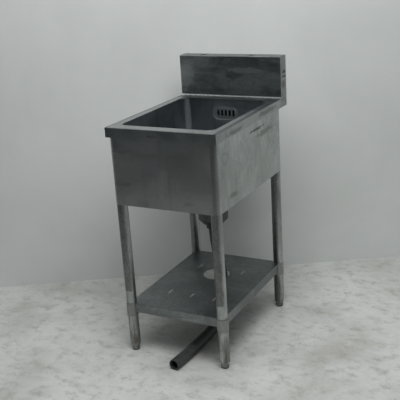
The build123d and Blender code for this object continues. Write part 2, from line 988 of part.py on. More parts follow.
def make_overflow_box():
    """Moulded box behind the wall with a flange and a spigot at its foot."""
    flange = on_back_wall(box_front + box_flange) * SlotOverall(cover_width, cover_height)
    cup = on_back_wall(box_back) * wall_hole(box_wall)
    box = extrude(flange, box_flange) + extrude(cup, box_back - box_front)
    spigot_bottom = spigot_top - spigot_length
    box += disc(0, spigot_y, spigot_bottom, spigot_top + box_wall / 2, spigot_radius)
    box -= extrude(on_back_wall(box_back - box_wall) * wall_hole(), box_back - box_wall - box_front)
    bore = spigot_radius - spigot_wall
    box -= disc(0, spigot_y, spigot_bottom, overflow_height, bore)
    return box - overflow_screw_holes(screw_slack)


def make_overflow_hose():
    """Short hose from the overflow box round under the bowl to the trap's inlet."""
    trap_face = waste_y + trap_radius
    line = (
        (0, spigot_y, spigot_top - hose_end_gap),
        (0, spigot_y, overflow_inlet_height + overflow_bend_rise),
        (0, spigot_y - overflow_bend_run, overflow_inlet_height),
        (0, trap_face + hose_end_gap, overflow_inlet_height),
    )
    inner = spigot_radius + overflow_hose_slack
    return pipe(line, [overflow_bend_radius] * 2, overflow_hose_radius, inner)


def make_clip(place):
    """Band clip round the overflow hose, with its screw housing across it."""
    inner = overflow_hose_radius + overflow_hose_slack
    band = Circle(inner + clip_thickness) - Circle(inner)
    clip = extrude(place * band, clip_width / 2, both=True)
    housing = Plane(origin=place.origin + place.x_dir * (inner + clip_screw_radius), z_dir=place.y_dir)
    clip += extrude(housing * Circle(clip_screw_radius), clip_screw_length / 2, both=True)
    return clip - extrude(place * Circle(inner), clip_width, both=True)


def make_clips():
    """The clips at the overflow hose's two ends."""
    upper = Plane(origin=(0, spigot_y, spigot_top - clip_offset), x_dir=(0, 1, 0))
    lower_y = waste_y + trap_radius + clip_offset
    lower = Plane(origin=(0, lower_y, overflow_inlet_height), x_dir=(1, 0, 0), z_dir=(0, 1, 0))
    return [make_clip(upper), make_clip(lower)]


def at_each_leg(make):
    """One piece at each leg."""
    return [make(x, y) for x, y in leg_places.values()]


def group(solids):
    """Like pieces that stay separate solids in one file."""
    return Compound(children=list(solids))


parts = {
    "deck": make_deck(),
    "back_splash": make_guard(),
    "back_splash_end_left": make_guard_end(-1),
    "back_splash_end_right": make_guard_end(1),
    "bowl": make_bowl(),
    "case_front": make_front_case(),
    "case_left": make_left_case(),
    "case_right": make_right_case(),
    "front_rail": cross_rail((case_front + case_sheet + bowl_front - sheet) / 2),
    "rear_rail": cross_rail((bowl_back + sheet + deck_back) / 2),
    "left_rail": side_rail(-1),
    "right_rail": side_rail(1),
    "rear_brace": make_rear_brace(),
    "leg_top_plates": group(at_each_leg(make_leg_plate)),
    "plate_studs": group(at_each_leg(make_plate_stud)),
    "plate_nuts": group(at_each_leg(make_plate_nut)),
    "leg_inserts": group(at_each_leg(make_leg_insert)),
    "shelf": make_shelf(),
    "shelf_collars": group(at_each_leg(make_collar)),
    "grub_screws": group(at_each_leg(make_grub_screw)),
    "shelf_stiffener_front": make_stiffener(stiffener_places[0]),
    "shelf_stiffener_rear": make_stiffener(stiffener_places[1]),
    "waste_flange": make_waste_flange(),
    "waste_gasket": make_waste_gasket(),
    "lock_nut": make_lock_nut(),
    "trap_body": make_trap_body(),
    "trap_bell": make_trap_bell(),
    "basket": make_basket(),
    "basket_handle": make_basket_handle(),
    "outlet_washer": make_outlet_washer(),
    "outlet_nut": make_outlet_nut(),
    "hose_tail": make_hose_tail(),
    "drain_hose": make_drain_hose(),
    "overflow_cover": make_overflow_cover(),
    "overflow_screws": group(make_overflow_screw(side) for side in (-1, 1)),
    "overflow_gasket": make_overflow_gasket(),
    "overflow_box": make_overflow_box(),
    "overflow_hose": make_overflow_hose(),
    "overflow_clips": group(make_clips()),
}
for place, (leg_across, leg_along) in leg_places.items():
    parts["leg_" + place] = make_leg(leg_across, leg_along)
    parts["foot_screw_" + place] = make_foot_screw(leg_across, leg_along)
    parts["foot_" + place] = make_foot(leg_across, leg_along)
    parts["foot_pad_" + place] = make_foot_pad(leg_across, leg_along)

os.makedirs("parts", exist_ok=True)
for name, shape in parts.items():
    export_step(shape, f"parts/{name}.step")
print(len(parts), "pieces written")
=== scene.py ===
import bpy
import math
from mathutils import Matrix, Vector


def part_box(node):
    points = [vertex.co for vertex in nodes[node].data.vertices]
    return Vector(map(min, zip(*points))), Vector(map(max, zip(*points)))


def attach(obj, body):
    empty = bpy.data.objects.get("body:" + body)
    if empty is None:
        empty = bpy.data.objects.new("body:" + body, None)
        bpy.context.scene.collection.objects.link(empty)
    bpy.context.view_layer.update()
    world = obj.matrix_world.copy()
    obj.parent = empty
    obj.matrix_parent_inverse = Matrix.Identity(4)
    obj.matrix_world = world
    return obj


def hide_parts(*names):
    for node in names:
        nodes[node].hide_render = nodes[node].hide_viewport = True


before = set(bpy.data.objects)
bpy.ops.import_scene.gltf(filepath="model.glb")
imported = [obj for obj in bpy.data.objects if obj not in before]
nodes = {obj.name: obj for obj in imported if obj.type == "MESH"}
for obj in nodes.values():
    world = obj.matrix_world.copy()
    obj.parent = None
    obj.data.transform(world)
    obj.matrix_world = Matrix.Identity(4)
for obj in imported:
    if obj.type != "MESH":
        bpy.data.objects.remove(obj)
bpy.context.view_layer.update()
legNames = ("front_left", "front_right", "rear_left", "rear_right")
print("frame loaded:", len(nodes), "nodes")


# Camera: at the right of the front, a little above the top

cameraSettings = {
    "place": (1.307, -2.465, 1.455),
    "turn": 28.38,  # degrees to the left
    "tilt": 18.65,  # degrees down
    "roll": -3.68,
    "lens": 71.36,
    "sensor": 36.0,
}


def addCamera(settings):
    data = bpy.data.cameras.new("camera")
    data.lens = settings["lens"]
    data.sensor_width = settings["sensor"]
    camera = bpy.data.objects.new("camera", data)
    bpy.context.scene.collection.objects.link(camera)
    turn = Matrix.Rotation(math.radians(settings["turn"]), 4, "Z")
    tilt = Matrix.Rotation(math.radians(90 - settings["tilt"]), 4, "X")
    roll = Matrix.Rotation(math.radians(settings["roll"]), 4, "Z")
    camera.matrix_world = Matrix.Translation(settings["place"]) @ turn @ tilt @ roll
    bpy.context.scene.camera = camera


addCamera(cameraSettings)
bpy.context.scene.view_settings.view_transform = "Standard"
print("camera placed")


# Mesh tools


def addMesh(name, points, faces, smooth=True):
    mesh = bpy.data.meshes.new(name)
    mesh.from_pydata([tuple(point) for point in points], [], faces)
    mesh.validate()
    mesh.update()
    mesh.polygons.foreach_set("use_smooth", [smooth] * len(mesh.polygons))
    piece = bpy.data.objects.new(name, mesh)
    bpy.context.scene.collection.objects.link(piece)
    return piece


# Points read from a smooth spline that a route controls
def splineLine(route, steps):
    curve = bpy.data.curves.new("route", "CURVE")
    curve.dimensions = "3D"
    spline = curve.splines.new("NURBS")
    spline.points.add(len(route) - 1)
    for point, place in zip(spline.points, route):
        point.co = (*place, 1)
    spline.order_u = 3
    spline.use_endpoint_u = True
    spline.resolution_u = steps
    holder = bpy.data.objects.new("route", curve)
    bpy.context.scene.collection.objects.link(holder)
    mesh = bpy.data.meshes.new_from_object(holder)
    line = [vertex.co.copy() for vertex in mesh.vertices]
    bpy.data.objects.remove(holder)
    bpy.data.meshes.remove(mesh)
    bpy.data.curves.remove(curve)
    return line


# A place and two cross directions at each point, without twist
def framesAlong(line):
    frames = []
    side = Vector((1, 0, 0))
    for index, place in enumerate(line):
        ahead = line[min(index + 1, len(line) - 1)] - line[max(index - 1, 0)]
        ahead.normalize()
        side = (side - ahead * side.dot(ahead)).normalized()
        frames.append((place, side, ahead.cross(side)))
    return frames


# A ring of points round a place, in the plane of two directions
def ringPoints(place, side, other, radius, count):
    ring = []
    for index in range(count):
        angle = 2 * math.pi * index / count
        ring.append(place + side * math.cos(angle) * radius + other * math.sin(angle) * radius)
    return ring


# Faces between rings of the same number of points
def skinRings(rings, closed=False):
    count = len(rings[0])
    faces = []
    pairs = len(rings) if closed else len(rings) - 1
    for ring in range(pairs):
        after = (ring + 1) % len(rings)
        for index in range(count):
            step = (index + 1) % count
            faces.append(
                (
                    ring * count + index,
                    ring * count + step,
                    after * count + step,
                    after * count + index,
                )
            )
    return faces


def ringMesh(name, rings, closed=False):
    points = [point for ring in rings for point in ring]
    return addMesh(name, points, skinRings(rings, closed))


# One object from several meshes
def joinPieces(name, pieces):
    points, faces = [], []
    for piece in pieces:
        start = len(points)
        points.extend(vertex.co.copy() for vertex in piece.data.vertices)
        faces.extend([start + index for index in face.vertices] for face in piece.data.polygons)
        bpy.data.objects.remove(piece)
    return addMesh(name, points, faces)


# Drain hose: one limp hose from the trap down to the floor, with an open cut end

drainHose = {
    "route": (
        (0, 0.052, 0.382),
        (0, 0.052, 0.352),
        (0.009, 0.052, 0.2865),
        (0.025, 0.051, 0.208),
        (0.031, 0.046, 0.142),
        (0.033, 0.023, 0.086),
        (0.035, -0.020, 0.043),
        (0.036, -0.076, 0.020),
        (0.036, -0.14775, 0.020),
        (0.035, -0.2195, 0.020),
        (0.0315, -0.29125, 0.020),
        (0.025, -0.363, 0.020),
    ),
    "radius": 0.020,
    "bore": 0.016,
    "lip": 0.0006,
    "steps": 8,
    "sides": 40,
}


def makeDrainHose(settings):
    line = splineLine(settings["route"], settings["steps"])
    frames = framesAlong(line)
    radius, bore, lip, sides = (settings[key] for key in ("radius", "bore", "lip", "sides"))
    outside = [ringPoints(*cross, radius, sides) for cross in frames]
    inside = [ringPoints(*cross, bore, sides) for cross in reversed(frames)]
    outside[0] = ringPoints(*frames[0], radius - lip, sides)
    outside[-1] = ringPoints(*frames[-1], radius - lip, sides)
    piece = ringMesh("drainHose", outside + inside, closed=True)
    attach(piece, "sink")
    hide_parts("drain_hose")
    return piece


hose = makeDrainHose(drainHose)


# Shader node tools


def addNode(tree, kind, **values):
    node = tree.nodes.new(kind)
    for name, value in values.items():
        setattr(node, name, value)
    return node


def feed(tree, socket, value):
    if isinstance(value, bpy.types.NodeSocket):
        tree.links.new(value, socket)
    elif value is not None:
        socket.default_value = value


def calc(tree, operation, *values, clamp=False):
    node = addNode(tree, "ShaderNodeMath", operation=operation, use_clamp=clamp)
    for socket, value in zip(node.inputs, values):
        feed(tree, socket, value)
    return node.outputs[0]


def calcVector(tree, operation, *values, output="Vector"):
    node = addNode(tree, "ShaderNodeVectorMath", operation=operation)
    for socket, value in zip(node.inputs, values):
        feed(tree, socket, value)
    return node.outputs[output]


# A smooth step from one range to another
def spread(tree, value, low, high, toLow=0.0, toHigh=1.0):
    node = addNode(tree, "ShaderNodeMapRange", interpolation_type="SMOOTHSTEP")
    for socket, given in zip(node.inputs, (value, low, high, toLow, toHigh)):
        feed(tree, socket, given)
    return node.outputs["Result"]


def mixColor(tree, share, first, second):
    node = addNode(tree, "ShaderNodeMix", data_type="RGBA")
    feed(tree, node.inputs[0], share)
    for socket, value in ((node.inputs[6], first), (node.inputs[7], second)):
        feed(tree, socket, (*value, 1) if isinstance(value, tuple) else value)
    return node.outputs[2]


def noise(tree, place, scale, detail=3.0, roughness=0.55, distortion=0.0):
    node = addNode(tree, "ShaderNodeTexNoise")
    feed(tree, node.inputs["Vector"], place)
    feed(tree, node.inputs["Scale"], scale)
    feed(tree, node.inputs["Detail"], detail)
    feed(tree, node.inputs["Roughness"], roughness)
    feed(tree, node.inputs["Distortion"], distortion)
    return node.outputs["Fac"]


def objectPlace(tree):
    return addNode(tree, "ShaderNodeTexCoord").outputs["Object"]


def surfaceNormal(tree):
    return addNode(tree, "ShaderNodeNewGeometry").outputs["Normal"]


def axisOf(tree, vector, axis):
    node = addNode(tree, "ShaderNodeSeparateXYZ")
    feed(tree, node.inputs[0], vector)
    return node.outputs[axis]


# An empty node group with its sockets, and its two end nodes
def newGroup(name, inputs, outputs):
    tree = bpy.data.node_groups.new(name, "ShaderNodeTree")
    for label, kind, value in inputs:
        socket = tree.interface.new_socket(label, in_out="INPUT", socket_type="NodeSocket" + kind)
        socket.default_value = value
    for label in outputs:
        tree.interface.new_socket(label, in_out="OUTPUT", socket_type="NodeSocketFloat")
    return tree, tree.nodes.new("NodeGroupInput").outputs, tree.nodes.new("NodeGroupOutput").inputs


# A group placed in a material with its own values
def useGroup(tree, group, output, **values):
    node = addNode(tree, "ShaderNodeGroup", node_tree=group)
    for name, value in values.items():
        feed(tree, node.inputs[name], value)
    return node.outputs[output]


# Effects that several finishes share


# Fine polishing lines and broader bands along one direction
def makeGrain():
    tree, given, result = newGroup(
        "brushedGrain", [("Stretch", "Vector", (20, 900, 900))], ["Lines", "Bands"]
    )
    stretched = calcVector(tree, "MULTIPLY", objectPlace(tree), given["Stretch"])
    lines = noise(tree, stretched, 1.0, 3, 0.6)
    bands = noise(tree, stretched, 0.05, 4, 0.65)
    feed(tree, result["Lines"], spread(tree, lines, 0.3, 0.7))
    feed(tree, result["Bands"], spread(tree, bands, 0.32, 0.68))
    return tree


# Cloudy film left by wiping, broad and fine
def makeClouds():
    tree, given, result = newGroup(
        "wipedFilm", [("Size", "Float", 6.0), ("Draw", "Vector", (1, 1, 1))], ["Broad", "Fine"]
    )
    place = calcVector(tree, "MULTIPLY", objectPlace(tree), given["Draw"])
    broad = noise(tree, place, given["Size"], 5, 0.62, 0.8)
    fine = noise(tree, place, calc(tree, "MULTIPLY", given["Size"], 7.0), 6, 0.7, 1.6)
    feed(tree, result["Broad"], spread(tree, broad, 0.36, 0.64))
    feed(tree, result["Fine"], spread(tree, fine, 0.38, 0.66))
    return tree


# Thin straight scratches in two crossing directions, gathered in patches
def makeScratches():
    tree, given, result = newGroup(
        "scratches",
        [("Turn", "Vector", (0, 0, 0)), ("Stretch", "Vector", (7, 260, 260)), ("Share", "Float", 0.5)],
        ["Scratch"],
    )
    patches = noise(tree, objectPlace(tree), 9.0, 3, 0.6)
    limit = calc(tree, "SUBTRACT", 0.72, calc(tree, "MULTIPLY", given["Share"], 0.14))
    found = []
    for lean in (0.35, -0.55):
        turned = addNode(tree, "ShaderNodeMapping")
        feed(tree, turned.inputs["Vector"], objectPlace(tree))
        rotation = calcVector(tree, "ADD", given["Turn"], (lean, lean, lean))
        feed(tree, turned.inputs["Rotation"], rotation)
        feed(tree, turned.inputs["Scale"], given["Stretch"])
        lines = noise(tree, turned.outputs[0], 1.0, 2, 0.5)
        found.append(spread(tree, lines, limit, calc(tree, "ADD", limit, 0.04)))
    both = calc(tree, "MAXIMUM", *found)
    feed(tree, result["Scratch"], calc(tree, "MULTIPLY", both, spread(tree, patches, 0.42, 0.62)))
    return tree


# Bright rubbed edges, broken by noise
def makeEdgeWear():
    tree, given, result = newGroup("edgeWear", [("Width", "Float", 0.002)], ["Worn"])
    bevel = addNode(tree, "ShaderNodeBevel", samples=4)
    feed(tree, bevel.inputs["Radius"], given["Width"])
    facing = calcVector(tree, "DOT_PRODUCT", bevel.outputs[0], surfaceNormal(tree), output="Value")
    edge = spread(tree, facing, 0.995, 0.86)
    broken = spread(tree, noise(tree, objectPlace(tree), 60.0, 4, 0.65), 0.3, 0.6)
    feed(tree, result["Worn"], calc(tree, "MULTIPLY", edge, broken))
    return tree


# Dust that lies on what faces up
def makeDust():
    tree, given, result = newGroup("settledDust", [("Cover", "Float", 0.4)], ["Dust"])
    up = spread(tree, axisOf(tree, surfaceNormal(tree), "Z"), 0.55, 0.95)
    grains = noise(tree, objectPlace(tree), 22.0, 8, 0.72, 0.4)
    lying = spread(tree, grains, calc(tree, "SUBTRACT", 0.72, given["Cover"]), 0.85)
    feed(tree, result["Dust"], calc(tree, "MULTIPLY", up, lying))
    return tree


# Brown grime and painted shade that climb from a low level, thinner with height
def makeGrimeAndLowShade():
    tree, given, result = newGroup(
        "climbingGrimeAndShade", [("Foot", "Float", 0.0), ("Top", "Float", 0.15)], ["GrimeAndShade"]
    )
    place = objectPlace(tree)
    climb = spread(tree, axisOf(tree, place, "Z"), given["Top"], given["Foot"])
    streaks = noise(tree, calcVector(tree, "MULTIPLY", place, (90, 90, 12)), 1.0, 5, 0.68, 0.6)
    feed(tree, result["GrimeAndShade"], calc(tree, "MULTIPLY", climb, spread(tree, streaks, 0.36, 0.66)))
    return tree


# Dried runs of water down upright faces
def makeRuns():
    tree, given, result = newGroup("driedRuns", [("Spacing", "Float", 40.0)], ["Runs"])
    place = calcVector(tree, "MULTIPLY", objectPlace(tree), (1, 1, 0.05))
    lines = noise(tree, place, given["Spacing"], 4, 0.6)
    upright = spread(tree, calc(tree, "ABSOLUTE", axisOf(tree, surfaceNormal(tree), "Z")), 0.4, 0.1)
    feed(tree, result["Runs"], calc(tree, "MULTIPLY", upright, spread(tree, lines, 0.55, 0.72)))
    return tree


# A soft patch at one place, with a broken edge
def makeSpot():
    tree, given, result = newGroup(
        "softPatch",
        [
            ("Middle", "Vector", (0, 0, 0)),
            ("Reach", "Vector", (0.02, 0.02, 0.02)),
            ("Break", "Float", 0.5),
            ("Hollow", "Float", 0.0),
        ],
        ["Patch"],
    )
    place = objectPlace(tree)
    away = calcVector(tree, "DIVIDE", calcVector(tree, "SUBTRACT", place, given["Middle"]), given["Reach"])
    far = calcVector(tree, "LENGTH", away, output="Value")
    ragged = calc(tree, "SUBTRACT", noise(tree, place, 70.0, 4, 0.7), 0.5)
    edge = calc(tree, "ADD", far, calc(tree, "MULTIPLY", ragged, given["Break"]))
    disc = spread(tree, edge, 1.0, 0.55)
    hole = spread(tree, edge, 0.8, 0.45)
    feed(tree, result["Patch"], calc(tree, "SUBTRACT", disc, calc(tree, "MULTIPLY", hole, given["Hollow"])))
    return tree


# Torn film left on one side of a tube, down to a ragged end; the side it darkens, the one facing
# front-left, is also painted shade
def makeTornFilmAndSideShade():
    tree, given, result = newGroup(
        "tornFilmAndSideShade",
        [("Facing", "Vector", (-0.75, -0.66, 0)), ("End", "Float", 0.24), ("Reach", "Float", 0.0)],
        ["FilmAndShade"],
    )
    place = objectPlace(tree)
    facing = calcVector(tree, "DOT_PRODUCT", surfaceNormal(tree), given["Facing"], output="Value")
    tears = noise(tree, calcVector(tree, "MULTIPLY", place, (34, 34, 5)), 1.0, 6, 0.72)
    ragged = calc(tree, "MULTIPLY", calc(tree, "SUBTRACT", tears, 0.5), 1.6)
    torn = calc(tree, "ADD", facing, ragged)
    side = spread(tree, torn, given["Reach"], calc(tree, "ADD", given["Reach"], 0.45))
    height = calc(tree, "ADD", axisOf(tree, place, "Z"), calc(tree, "MULTIPLY", ragged, 0.012))
    above = spread(tree, height, given["End"], calc(tree, "ADD", given["End"], 0.004))
    feed(tree, result["FilmAndShade"], calc(tree, "MULTIPLY", side, above))
    return tree


# Faces that look one way
def makeFacing():
    tree, given, result = newGroup(
        "facing",
        [("Toward", "Vector", (0, 0, 1)), ("From", "Float", 0.6), ("Full", "Float", 0.95)],
        ["Share"],
    )
    turned = calcVector(tree, "DOT_PRODUCT", surfaceNormal(tree), given["Toward"], output="Value")
    feed(tree, result["Share"], spread(tree, turned, given["From"], given["Full"]))
    return tree


# Slight waves in thin sheet
def makeWarp():
    tree, given, result = newGroup("sheetWarp", [("Size", "Float", 4.0)], ["Height"])
    feed(tree, result["Height"], noise(tree, objectPlace(tree), given["Size"], 1.5, 0.45))
    return tree


grainGroup = makeGrain()
cloudGroup = makeClouds()
scratchGroup = makeScratches()
edgeGroup = makeEdgeWear()
dustGroup = makeDust()
grimeAndShadeGroup = makeGrimeAndLowShade()
runsGroup = makeRuns()
spotGroup = makeSpot()
warpGroup = makeWarp()
filmAndShadeGroup = makeTornFilmAndSideShade()
facingGroup = makeFacing()
print("effects built")


# Steel finishes


def newMaterial(name):
    material = bpy.data.materials.new(name)
    material.use_nodes = True
    tree = material.node_tree
    return material, tree, tree.nodes["Principled BSDF"]


# Bumps laid one over another, each with its height and depth in metres
def bumpedNormal(tree, shader, layers):
    normal = None
    for height, depth in layers:
        bump = addNode(tree, "ShaderNodeBump")
        feed(tree, bump.inputs["Height"], height)
        bump.inputs["Distance"].default_value = depth
        if normal is not None:
            feed(tree, bump.inputs["Normal"], normal)
        normal = bump.outputs["Normal"]
    feed(tree, shader.inputs["Normal"], normal)


steelColors = {
    "dust": (0.30, 0.29, 0.27),
    "grimeAndShade": (0.075, 0.060, 0.045),
    "edge": (0.60, 0.61, 0.60),
}


# How much rougher each effect makes the steel
steelRougher = {
    "broad": 0.07,
    "fine": 0.10,
    "lines": 0.05,
    "runs": 0.12,
    "filmAndShade": 0.08,
    "patch": 0.1,
    "dust": 0.3,
    "grimeAndShade": 0.25,
    "most": 0.95,
}
# How much of the bare metal dust, and grime with painted shade, hide
steelHidden = {"dust": 0.8, "grimeAndShade": 0.7}
scratchDepth = -0.00004


# Brushed sheet with film and painted side shade, bands, scratches, runs, painted shade on faces that look
# one way, patches (among them painted shade and painted highlights), rubbed edges, dust, and grime with
# painted shade
def makeSteel(name, finish):
    material, tree, shader = newMaterial(name)
    grain = finish["grain"]
    lines = useGroup(tree, grainGroup, "Lines", Stretch=grain)
    bands = useGroup(tree, grainGroup, "Bands", Stretch=grain)
    broad = useGroup(tree, cloudGroup, "Broad", Size=finish["cloudSize"], Draw=finish["cloudDraw"])
    fine = useGroup(tree, cloudGroup, "Fine", Size=finish["cloudSize"], Draw=finish["cloudDraw"])
    scratch = useGroup(
        tree, scratchGroup, "Scratch", Turn=finish["scratchTurn"], Share=finish["scratchShare"]
    )
    worn = useGroup(tree, edgeGroup, "Worn", Width=finish["edgeWidth"])
    color = mixColor(tree, broad, finish["dark"], finish["light"])
    banded = calc(tree, "MULTIPLY", bands, finish["bandShare"])
    color = mixColor(tree, banded, color, finish["light"])
    mottled = calc(tree, "MULTIPLY", fine, finish["mottle"])
    color = mixColor(tree, mottled, color, finish["dark"])
    rough = calc(tree, "ADD", finish["roughness"], calc(tree, "MULTIPLY", broad, steelRougher["broad"]))
    rough = calc(tree, "ADD", rough, calc(tree, "MULTIPLY", fine, steelRougher["fine"] * finish["mottle"]))
    rough = calc(tree, "ADD", rough, calc(tree, "MULTIPLY", lines, steelRougher["lines"]))
    if finish["runs"]:
        runs = useGroup(tree, runsGroup, "Runs", Spacing=finish["runSpacing"])
        runs = calc(tree, "MULTIPLY", runs, finish["runs"])
        color = mixColor(tree, runs, color, finish["runColor"])
        rough = calc(tree, "ADD", rough, calc(tree, "MULTIPLY", runs, steelRougher["runs"]))
    if finish["filmAndShade"]:
        filmAndShade = useGroup(tree, filmAndShadeGroup, "FilmAndShade", End=finish["filmEnd"], Reach=finish["filmReach"])
        patchy = calc(tree, "MULTIPLY_ADD", fine, -finish["filmGaps"], 1.0)
        filmAndShade = calc(tree, "MULTIPLY", calc(tree, "MULTIPLY", filmAndShade, finish["filmAndShade"]), patchy)
        color = mixColor(tree, filmAndShade, color, finish["filmAndShadeColor"])
        rough = calc(tree, "ADD", rough, calc(tree, "MULTIPLY", filmAndShade, steelRougher["filmAndShade"]))
    for shade in finish["shades"]:
        facing = useGroup(
            tree, facingGroup, "Share", Toward=shade["toward"], From=shade["start"], Full=shade["full"]
        )
        color = mixColor(tree, calc(tree, "MULTIPLY", facing, shade["share"]), color, shade["color"])
    for patch in finish["patches"]:
        spot = useGroup(
            tree,
            spotGroup,
            "Patch",
            Middle=patch["middle"],
            Reach=patch["reach"],
            Break=patch.get("broken", 0.6),
            Hollow=patch.get("hollow", 0.0),
        )
        color = mixColor(tree, calc(tree, "MULTIPLY", spot, patch["share"]), color, patch["color"])
        rougher = patch.get("rougher", steelRougher["patch"])
        rough = calc(tree, "ADD", rough, calc(tree, "MULTIPLY", spot, rougher))
    thin = calc(tree, "MULTIPLY", scratch, finish["scratchStrength"])
    color = mixColor(tree, thin, color, finish["scratchColor"])
    color = mixColor(tree, calc(tree, "MULTIPLY", worn, finish["edgeShare"]), color, steelColors["edge"])
    metal = 1.0
    if finish["dust"]:
        dust = useGroup(tree, dustGroup, "Dust", Cover=finish["dust"])
        color = mixColor(tree, dust, color, steelColors["dust"])
        rough = calc(tree, "ADD", rough, calc(tree, "MULTIPLY", dust, steelRougher["dust"]))
        metal = calc(tree, "SUBTRACT", 1.0, calc(tree, "MULTIPLY", dust, steelHidden["dust"]))
    if finish["grimeShadeTop"]:
        grimeAndShade = useGroup(tree, grimeAndShadeGroup, "GrimeAndShade", Foot=finish["grimeShadeFoot"], Top=finish["grimeShadeTop"])
        grimeAndShade = calc(tree, "MULTIPLY", grimeAndShade, finish["grimeShadeShare"])
        color = mixColor(tree, grimeAndShade, color, steelColors["grimeAndShade"])
        rough = calc(tree, "ADD", rough, calc(tree, "MULTIPLY", grimeAndShade, steelRougher["grimeAndShade"]))
        hidden = calc(tree, "MULTIPLY", grimeAndShade, steelHidden["grimeAndShade"])
        metal = calc(tree, "SUBTRACT", metal, hidden, clamp=True)
    feed(tree, shader.inputs["Base Color"], color)
    feed(tree, shader.inputs["Metallic"], metal)
    feed(tree, shader.inputs["Roughness"], calc(tree, "MINIMUM", rough, steelRougher["most"]))
    warp = useGroup(tree, warpGroup, "Height", Size=finish["warpSize"])
    layers = [(warp, finish["warpDepth"]), (lines, finish["grainDepth"]), (scratch, scratchDepth)]
    bumpedNormal(tree, shader, layers)
    return material


steelBasis = {
    "light": (0.50, 0.52, 0.515),
    "dark": (0.33, 0.35, 0.35),
    "roughness": 0.30,
    "grain": (14, 700, 700),
    "bandShare": 0.35,
    "cloudSize": 7.0,
    "cloudDraw": (1, 1, 1),
    "mottle": 0.4,
    "runs": 0.0,
    "runSpacing": 55.0,
    "runColor": (0.20, 0.21, 0.21),
    "filmAndShade": 0.0,
    "filmEnd": 0.24,
    "filmReach": -0.35,
    "filmAndShadeColor": (0.125, 0.132, 0.130),
    "filmGaps": 0.45,
    "shades": (),
    "patches": (),
    "scratchTurn": (0, 0, 0),
    "scratchShare": 0.5,
    "scratchStrength": 0.35,
    "scratchColor": (0.62, 0.63, 0.62),
    "edgeWidth": 0.0015,
    "edgeShare": 0.35,
    "dust": 0.0,
    "grimeShadeFoot": 0.0,
    "grimeShadeTop": 0.0,
    "grimeShadeShare": 0.6,
    "warpSize": 5.0,
    "warpDepth": 0.0008,
    "grainDepth": 0.000012,
}

rimFinish = {
    **steelBasis,
    "light": (0.52, 0.54, 0.535),
    "dark": (0.36, 0.38, 0.38),
    "roughness": 0.29,
    "mottle": 0.35,
    "dust": 0.08,
    "edgeShare": 0.15,
    "patches": (
        {
            "middle": (-0.028, -0.305, 0.828),
            "reach": (0.026, 0.01, 0.005),
            "share": 0.6,
            "color": (0.14, 0.14, 0.14),
            "broken": 1.0,
        },
        # painted shade: a dark line along the left rim's outer edge
        {
            "middle": (-0.207, -0.02, 0.851),
            "reach": (0.008, 0.7, 0.006),
            "share": 0.75,
            "color": (0.20, 0.21, 0.21),
            "broken": 0.3,
        },
        # painted shade: a dark line along the right rim's outer edge
        {
            "middle": (0.208, -0.02, 0.851),
            "reach": (0.014, 0.7, 0.005),
            "share": 0.8,
            "color": (0.16, 0.17, 0.17),
            "broken": 0.4,
        },
        # painted shade: a dark line along the front rim's outer edge
        {
            "middle": (0, -0.305, 0.8495),
            "reach": (0.7, 0.007, 0.004),
            "share": 0.7,
            "color": (0.22, 0.23, 0.23),
            "broken": 0.2,
        },
        # painted shade: darkens the back lip of the bowl opening in place of its highlight
        {
            "middle": (0, 0.207, 0.849),
            "reach": (0.7, 0.005, 0.005),
            "share": 0.85,
            "color": (0.12, 0.13, 0.13),
            "broken": 0.1,
        },
        {
            "middle": (0.211, 0.12, 0.832),
            "reach": (0.01, 0.10, 0.010),
            "share": 0.6,
            "color": (0.18, 0.18, 0.18),
            "broken": 2.4,
        },
        {
            "middle": (0.211, -0.16, 0.826),
            "reach": (0.01, 0.08, 0.008),
            "share": 0.5,
            "color": (0.20, 0.20, 0.20),
            "broken": 2.4,
        },
    ),
}
splashFinish = {
    **steelBasis,
    "light": (0.84, 0.86, 0.87),
    "dark": (0.34, 0.36, 0.37),
    "roughness": 0.31,
    "cloudSize": 7.0,
    "cloudDraw": (1, 1, 2.4),
    "mottle": 0.45,
    "runs": 0.1,
    "shades": (
        {"toward": (0, 0, 1), "start": 0.6, "full": 0.95, "share": 0.9, "color": (0.20, 0.21, 0.21)},
    ),
    "patches": (
        # painted shade: darkens the upper part of the cove
        {
            "middle": (0, 0.2505, 0.8580),
            "reach": (0.7, 0.006, 0.0036),
            "share": 0.8,
            "color": (0.20, 0.22, 0.23),
            "broken": 0.1,
        },
        # painted highlight: a bright, smoother line along the foot of the cove
        {
            "middle": (0, 0.247, 0.8510),
            "reach": (0.7, 0.008, 0.0030),
            "share": 1.0,
            "color": (1.0, 1.0, 1.0),
            "broken": 0.1,
            "rougher": -0.12,
        },
        # painted shade: black inside the left tap hole
        {
            "middle": (-0.1015, 0.304, 0.989),
            "reach": (0.03, 0.012, 0.0145),
            "share": 1.0,
            "color": (0.01, 0.01, 0.01),
            "broken": 0.0,
        },
        # painted shade: black inside the right tap hole
        {
            "middle": (0.1015, 0.304, 0.989),
            "reach": (0.03, 0.012, 0.0145),
            "share": 1.0,
            "color": (0.01, 0.01, 0.01),
            "broken": 0.0,
        },
        {
            "middle": (0.02, 0.252, 0.866),
            "reach": (0.20, 0.02, 0.018),
            "share": 0.55,
            "color": (0.28, 0.30, 0.31),
            "broken": 1.0,
        },
        {
            "middle": (0.07, 0.252, 0.952),
            "reach": (0.09, 0.02, 0.014),
            "share": 0.6,
            "color": (0.95, 0.96, 0.97),
            "broken": 1.6,
        },
        {
            "middle": (-0.19, 0.252, 0.93),
            "reach": (0.05, 0.02, 0.07),
            "share": 0.5,
            "color": (0.95, 0.96, 0.97),
            "broken": 1.2,
        },
    ),
}
